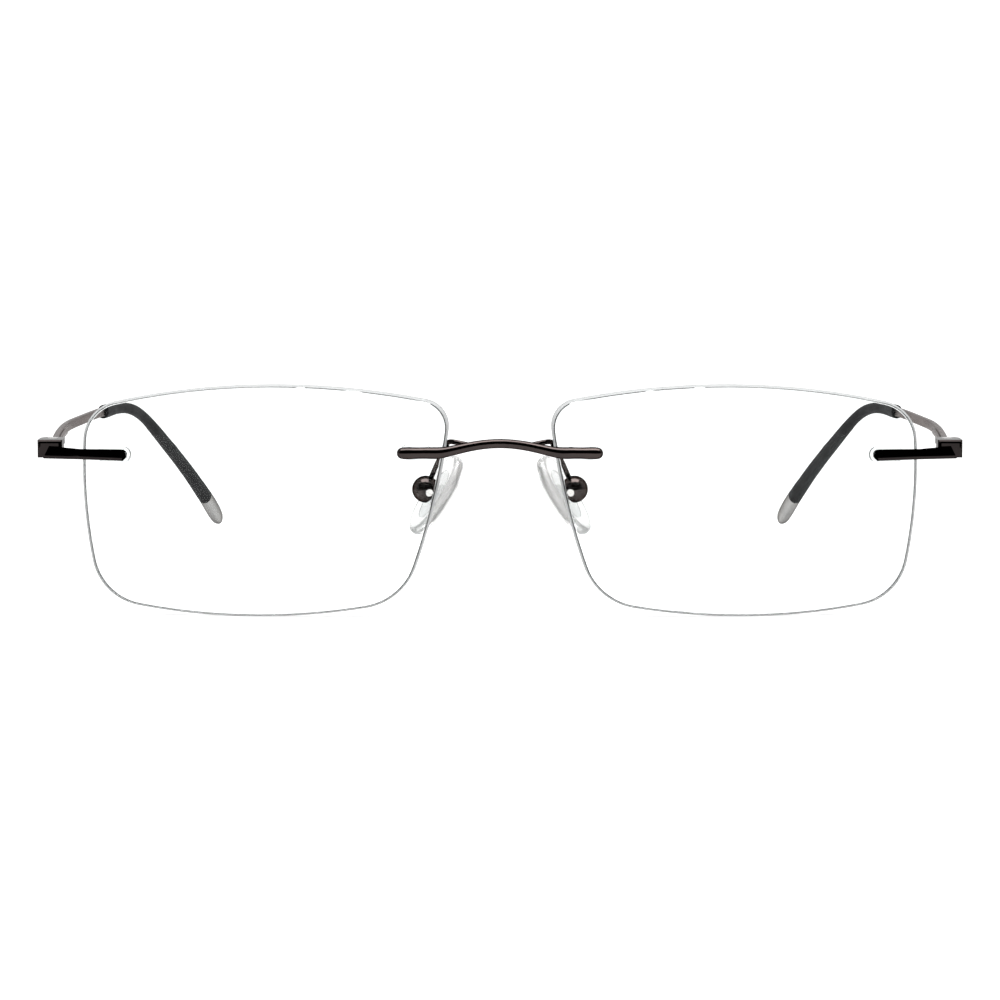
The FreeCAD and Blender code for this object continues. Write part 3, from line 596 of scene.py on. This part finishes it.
@dataclass
class NosePads:
    """Soft clear pads on stiff cores, rocking in cups on looped arms."""

    finishes: Finishes
    length: float = 13.4 * MM
    width: float = 7.8 * MM
    standoff: float = 1.25 * MM
    power: float = 2.3
    ring_points: int = 96
    # Share of the oval and height above the back plane in mm, from the back's middle round the
    # rim to the top of the cushion.
    profile: Tuple[Tuple[float, float], ...] = (
        (0.10, 0.34), (0.40, 0.34), (0.58, 0.32), (0.66, 0.24), (0.72, 0.10), (0.78, 0.03),
        (0.86, 0.02), (0.93, 0.08), (0.975, 0.24), (0.995, 0.5), (1.0, 0.8), (0.99, 1.1),
        (0.96, 1.38), (0.90, 1.68), (0.81, 1.95), (0.69, 2.16), (0.54, 2.32), (0.37, 2.42),
        (0.18, 2.48), (0.05, 2.495),
    )

    def build(self) -> None:
        """Build and dress both pads and what carries them."""
        for side in Side:
            word = side.word
            dress_node(f"{word}_pad_arm", self.finishes.get("polished"))
            soften(dress_node(f"{word}_pad_cup", self.finishes.get("polished")), 0.08, 3)
            soften(dress_node(f"{word}_pad_screw", self.finishes.get("screw")), 0.04)
            soften(dress_node(f"{word}_pad_core", self.finishes.get("core")), 0.06)
            self.cushion(side)

    def place(self) -> Matrix:
        """The left pad's frame, from the joint that it rocks on.

        Returns:
            A matrix with +X along the screw and +Z from the cup towards the nose.
        """
        joint = next(item for item in JOINTS if item["name"] == "left_pad_rock")
        screw = Vector(joint["axis"]).normalized()
        down = Vector((screw.z, 0.0, -screw.x)).normalized()
        out = screw.cross(down)
        turn = Matrix((screw, down, out)).transposed().to_4x4()
        return Matrix.Translation(Vector(joint["pos_m"])) @ turn

    def cushion(self, side: Side) -> None:
        """Build the silicone cushion: a rimmed oval with a shallow pocket in its back.

        Args:
            side: which pad.
        """
        place = self.place()
        rings = []
        for share, height in self.profile:
            level = Vector((0, 0, self.standoff + height * MM))
            offsets = oval(Vector((1, 0, 0)), Vector((0, 1, 0)), self.width * share,
                           self.length * share, self.power, self.ring_points)
            rings.append([mirrored(place @ (level + offset), side) for offset in offsets])
        points, faces = skin_rings(rings)
        pad = mesh_object(f"{side.word}_pad_cushion", points, faces,
                          self.finishes.get("silicone"))
        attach(pad, f"{side.word}_pad")
        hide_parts(f"{side.word}_nose_pad")
        LOG.info("built %s", pad.name)


# --- Lenses -------------------------------------------------------------------------------


@dataclass
class Lenses:
    """Clear curved shells of even thickness, with a ground and bevelled rim."""

    finishes: Finishes
    width: float = 55.0 * MM
    height: float = 35.0 * MM
    thickness: float = 1.8 * MM
    curve: float = 120.0 * MM
    wrap: float = 5.0
    tilt: float = 3.5
    bevel: float = 0.15 * MM
    # Corners of the outline before rounding, as shares of the width (outward) and height.
    corners: Tuple[Tuple[float, float], ...] = ((0.4921, 0.3653), (-0.5095, 0.3981),
                                                (-0.3787, -0.4455), (0.4549, -0.4512))
    # Radii in mm of the arcs: brow, beside the nose, cheek, temple side.
    arcs: Tuple[float, ...] = (106.0, 101.0, 115.0, 82.5)
    # Rounding in mm of the corners at the start of each of those arcs.
    rounding: Tuple[float, ...] = (6.0, 4.2, 9.4, 8.1)
    corner_points: int = 14
    arc_points: int = 40
    # How far, in bevels, the shoulder of the bevel stands from the faces.
    shoulder: float = 1.3
    shares: Tuple[float, ...] = (0.03, 0.2, 0.4, 0.6, 0.75, 0.87, 0.94, 0.98, 0.992)

    def build(self) -> None:
        """Build both lenses."""
        for side in Side:
            self.lens(side)

    def outline(self) -> List[Vector]:
        """The outline of the left lens in its own plane, with rounded corners.

        Returns:
            Points with x outward and y up, anticlockwise from the outer upper corner.
        """
        points = [Vector((x * self.width, z * self.height)) for x, z in self.corners]
        centres = []
        for index, radius in enumerate(self.arcs):
            start, end = points[index], points[(index + 1) % 4]
            chord = end - start
            inward = Vector((-chord.y, chord.x)).normalized()
            reach = math.sqrt((radius * MM) ** 2 - chord.length_squared / 4)
            centres.append((start + end) / 2 + inward * reach)
        middles = [self.meet(centres[index - 1], (self.arcs[index - 1] - small) * MM,
                             centres[index], (self.arcs[index] - small) * MM, points[index])
                   for index, small in enumerate(self.rounding)]
        loop: List[Vector] = []
        for index, middle in enumerate(middles):
            following = middles[(index + 1) % 4]
            loop += self.sweep(middle, self.rounding[index] * MM, middle - centres[index - 1],
                               middle - centres[index], self.corner_points)
            loop += self.sweep(centres[index], self.arcs[index] * MM, middle - centres[index],
                               following - centres[index], self.arc_points)[1:-1]
        return loop

    @staticmethod
    def meet(first: Vector, first_radius: float, second: Vector, second_radius: float,
             near: Vector) -> Vector:
        """Where two circles cross, nearest to a point.

        Args:
            first: centre of the first circle.
            first_radius: its radius.
            second: centre of the second circle.
            second_radius: its radius.
            near: the point that chooses between the crossings.

        Returns:
            The crossing.
        """
        apart = second - first
        gap = apart.length
        along = (first_radius ** 2 - second_radius ** 2 + gap ** 2) / (2 * gap)
        aside = math.sqrt(max(first_radius ** 2 - along ** 2, 0.0))
        foot = first + apart * (along / gap)
        normal = Vector((-apart.y, apart.x)) / gap
        return min((foot + normal * aside, foot - normal * aside),
                   key=lambda point: (point - near).length)

    @staticmethod
    def sweep(centre: Vector, radius: float, start: Vector, end: Vector,
              count: int) -> List[Vector]:
        """Points along an arc from one direction to another.

        Args:
            centre: centre of the arc.
            radius: its radius.
            start: direction of its first point from the centre.
            end: direction of its last point.
            count: number of points.

        Returns:
            The points.
        """
        first = math.atan2(start.y, start.x)
        turn = (math.atan2(end.y, end.x) - first + math.pi) % (2 * math.pi) - math.pi
        angles = [first + turn * step / (count - 1) for step in range(count)]
        return [centre + Vector((math.cos(angle), math.sin(angle))) * radius
                for angle in angles]

    def depth(self, point: Vector, inset: float) -> float:
        """Depth of the surface so far inside the front one, at a point of the lens plane."""
        return self.curve - math.sqrt((self.curve - inset) ** 2 - point.length_squared)

    def lens(self, side: Side) -> None:
        """Build one lens.

        Args:
            side: which one.
        """
        outline = self.outline()
        narrow = 1 - self.bevel / self.height * 2
        layers = [(share, 0.0, 0.0) for share in self.shares]
        step = self.bevel * self.shoulder
        layers += [(narrow, 0.0, 0.0), (1.0, 0.0, self.bevel), (1.0, 0.0, step),
                   (1.0, self.thickness, -step), (1.0, self.thickness, -self.bevel),
                   (narrow, self.thickness, 0.0)]
        layers += [(share, self.thickness, 0.0) for share in reversed(self.shares)]
        turn = (Matrix.Rotation(math.radians(self.tilt), 4, "X")
                @ Matrix.Rotation(math.radians(self.wrap), 4, "Z"))
        rings = []
        for share, inset, shift in layers:
            flat = [point * share for point in outline]
            rings.append([turn @ Vector((point.x, self.depth(point, inset) + shift, point.y))
                          for point in flat])
        points, faces = skin_rings(rings)
        low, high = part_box("left_lens")
        every = list(zip(*points))
        shift = Vector([(low[axis] + high[axis] - min(every[axis]) - max(every[axis])) / 2
                        for axis in range(3)])
        points = [mirrored(point + shift, side) for point in points]
        lens = mesh_object(f"{side.word}_lens_blank", points, faces, self.finishes.get("lens"))
        lens.data.materials.append(self.finishes.get("rim"))
        # Five bands lie between the six rings of the bevelled rim.
        first_rim = len(self.shares)
        count = len(outline)
        for face in lens.data.polygons:
            ring = min(face.vertices) // count
            if first_rim <= ring < first_rim + 5 and max(face.vertices) < count * len(layers):
                face.material_index = 1
        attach(lens, "front")
        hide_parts(f"{side.word}_lens")
        LOG.info("built %s", lens.name)


# --- Front: bridge, mounts and hinges -----------------------------------------------------


@dataclass
class Front:
    """The metalwork that is pinned to the lenses."""

    finishes: Finishes

    def build(self) -> None:
        """Dress the bridge, both mounts and the hinges."""
        dress_node("bridge", self.finishes.get("polished"))
        for side in Side:
            word = side.word
            # The end pieces wear the darker gunmetal copy: painted shade that keeps them nearly
            # black.
            soften(dress_node(f"{word}_end_piece", self.finishes.get("block")), 0.18, 3)
            soften(dress_node(f"{word}_hinge_screw", self.finishes.get("screw")), 0.04)
            for mount in ("bridge", "end"):
                dress_node(f"{word}_{mount}_pins", self.finishes.get("wire"))
                soften(dress_node(f"{word}_{mount}_plug", self.finishes.get("nylon")), 0.12, 3)


# --- Studio -------------------------------------------------------------------------------


@dataclass
class Studio:
    """White sweep, one soft light and the camera."""

    distance: float = 0.6
    elevation: float = 5.5
    focal_mm: float = 144.6
    sweep_half_width: float = 1.1
    sweep_front: float = -0.55
    sweep_back: float = 0.9
    sweep_height: float = 1.1
    cove_radius: float = 0.35
    # Where the tent's opening ends and its white begins: Y of the direction looked in.
    dark_until: float = -0.35
    bright_from: float = -0.1
    dark_level: float = 0.01
    bright_level: float = 0.9
    softbox_place: Tuple[float, float, float] = (0.0, -0.1, 0.75)
    softbox_aim: Tuple[float, float, float] = (0.0, -0.06, 0.02)
    softbox_size: Tuple[float, float] = (0.8, 0.5)
    softbox_watts: float = 10.0
    paper_roughness: float = 0.9
    paper_glow: float = 0.8
    # What the camera looks at: so far behind the lens's front and above its middle.
    look_behind: float = 1.5 * MM
    look_above: float = 0.25 * MM

    def build(self) -> None:
        """Lay the sweep, hang the light and set up the camera."""
        self.sweep()
        self.world()
        self.light("overhead_softbox", self.softbox_place, self.softbox_aim, self.softbox_size,
                   self.softbox_watts)
        self.camera()

    def sweep(self) -> None:
        """A paper sweep: floor, cove and wall in one sheet."""
        profile = [(self.sweep_front, 0.0), (self.sweep_back - self.cove_radius, 0.0)]
        for step in range(1, 25):
            angle = math.radians(90 * step / 24)
            profile.append((self.sweep_back - self.cove_radius * (1 - math.sin(angle)),
                            self.cove_radius * (1 - math.cos(angle))))
        profile.append((self.sweep_back, self.sweep_height))
        points = [Vector((x, y, z)) for y, z in profile
                  for x in (-self.sweep_half_width, self.sweep_half_width)]
        faces = [[2 * row, 2 * row + 1, 2 * row + 3, 2 * row + 2]
                 for row in range(len(profile) - 1)]
        paper = mesh_object("paper_sweep", points, faces,
                            StudioPaper("seamless_white_paper", "#a0a0a0", self.paper_roughness,
                                        self.paper_glow).build())

    def world(self) -> None:
        """A white tent, open and dark towards the camera for the metal to mirror."""
        world = bpy.data.worlds.new("dim_studio")
        world.use_nodes = True
        tree = world.node_tree
        backdrop = tree.nodes["Background"]
        heading = add_node(tree, "ShaderNodeTexCoord").outputs["Generated"]
        along = add_node(tree, "ShaderNodeSeparateXYZ", links={"Vector": heading})
        ramp = add_node(tree, "ShaderNodeMapRange",
                        {"From Min": self.dark_until, "From Max": self.bright_from,
                         "To Min": self.dark_level, "To Max": self.bright_level},
                        {"Value": along.outputs["Y"]})
        tree.links.new(ramp.outputs["Result"], backdrop.inputs["Color"])
        bpy.context.scene.world = world

    def light(self, name: str, place: Sequence[float], aim: Sequence[float],
              size: Tuple[float, float], power: float) -> None:
        """Hang one soft area light.

        Args:
            name: what a photographer would call it.
            place: where it hangs.
            aim: the point that it faces.
            size: its width and height.
            power: its power in watts.
        """
        lamp = bpy.data.lights.new(name, "AREA")
        lamp.shape = "RECTANGLE"
        lamp.size = size[0]
        lamp.size_y = size[1]
        lamp.energy = power
        item = bpy.data.objects.new(name, lamp)
        item.location = place
        heading = Vector(aim) - Vector(place)
        item.rotation_euler = heading.to_track_quat("-Z", "Y").to_euler()
        bpy.context.scene.collection.objects.link(item)

    def camera(self) -> None:
        """A long lens, level with the glasses and a little above them."""
        low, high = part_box("left_lens")
        target = Vector((0.0, low.y + self.look_behind,
                         (low.z + high.z) / 2 + self.look_above))
        tilt = math.radians(self.elevation)
        lens = bpy.data.cameras.new("product_camera")
        lens.lens = self.focal_mm
        lens.sensor_width = 36.0
        lens.clip_start = 0.01
        item = bpy.data.objects.new("product_camera", lens)
        item.location = target + Vector((0.0, -math.cos(tilt), math.sin(tilt))) * self.distance
        item.rotation_euler = (target - item.location).to_track_quat("-Z", "Y").to_euler()
        bpy.context.scene.collection.objects.link(item)
        bpy.context.scene.camera = item
        bpy.context.scene.view_settings.view_transform = "Standard"


def main() -> None:
    """Build the scene round the frame."""
    finishes = Finishes()
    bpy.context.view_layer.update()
    for part in (Studio(), Lenses(finishes), Front(finishes), NosePads(finishes),
                 Temples(finishes)):
        LOG.info("building %s", type(part).__name__)
        part.build()


if __name__ == "__main__":
    logging.basicConfig(level=logging.INFO, format="%(message)s")
    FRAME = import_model()
    NODES = FRAME["nodes"]
    JOINTS = FRAME["joints"]
    main()
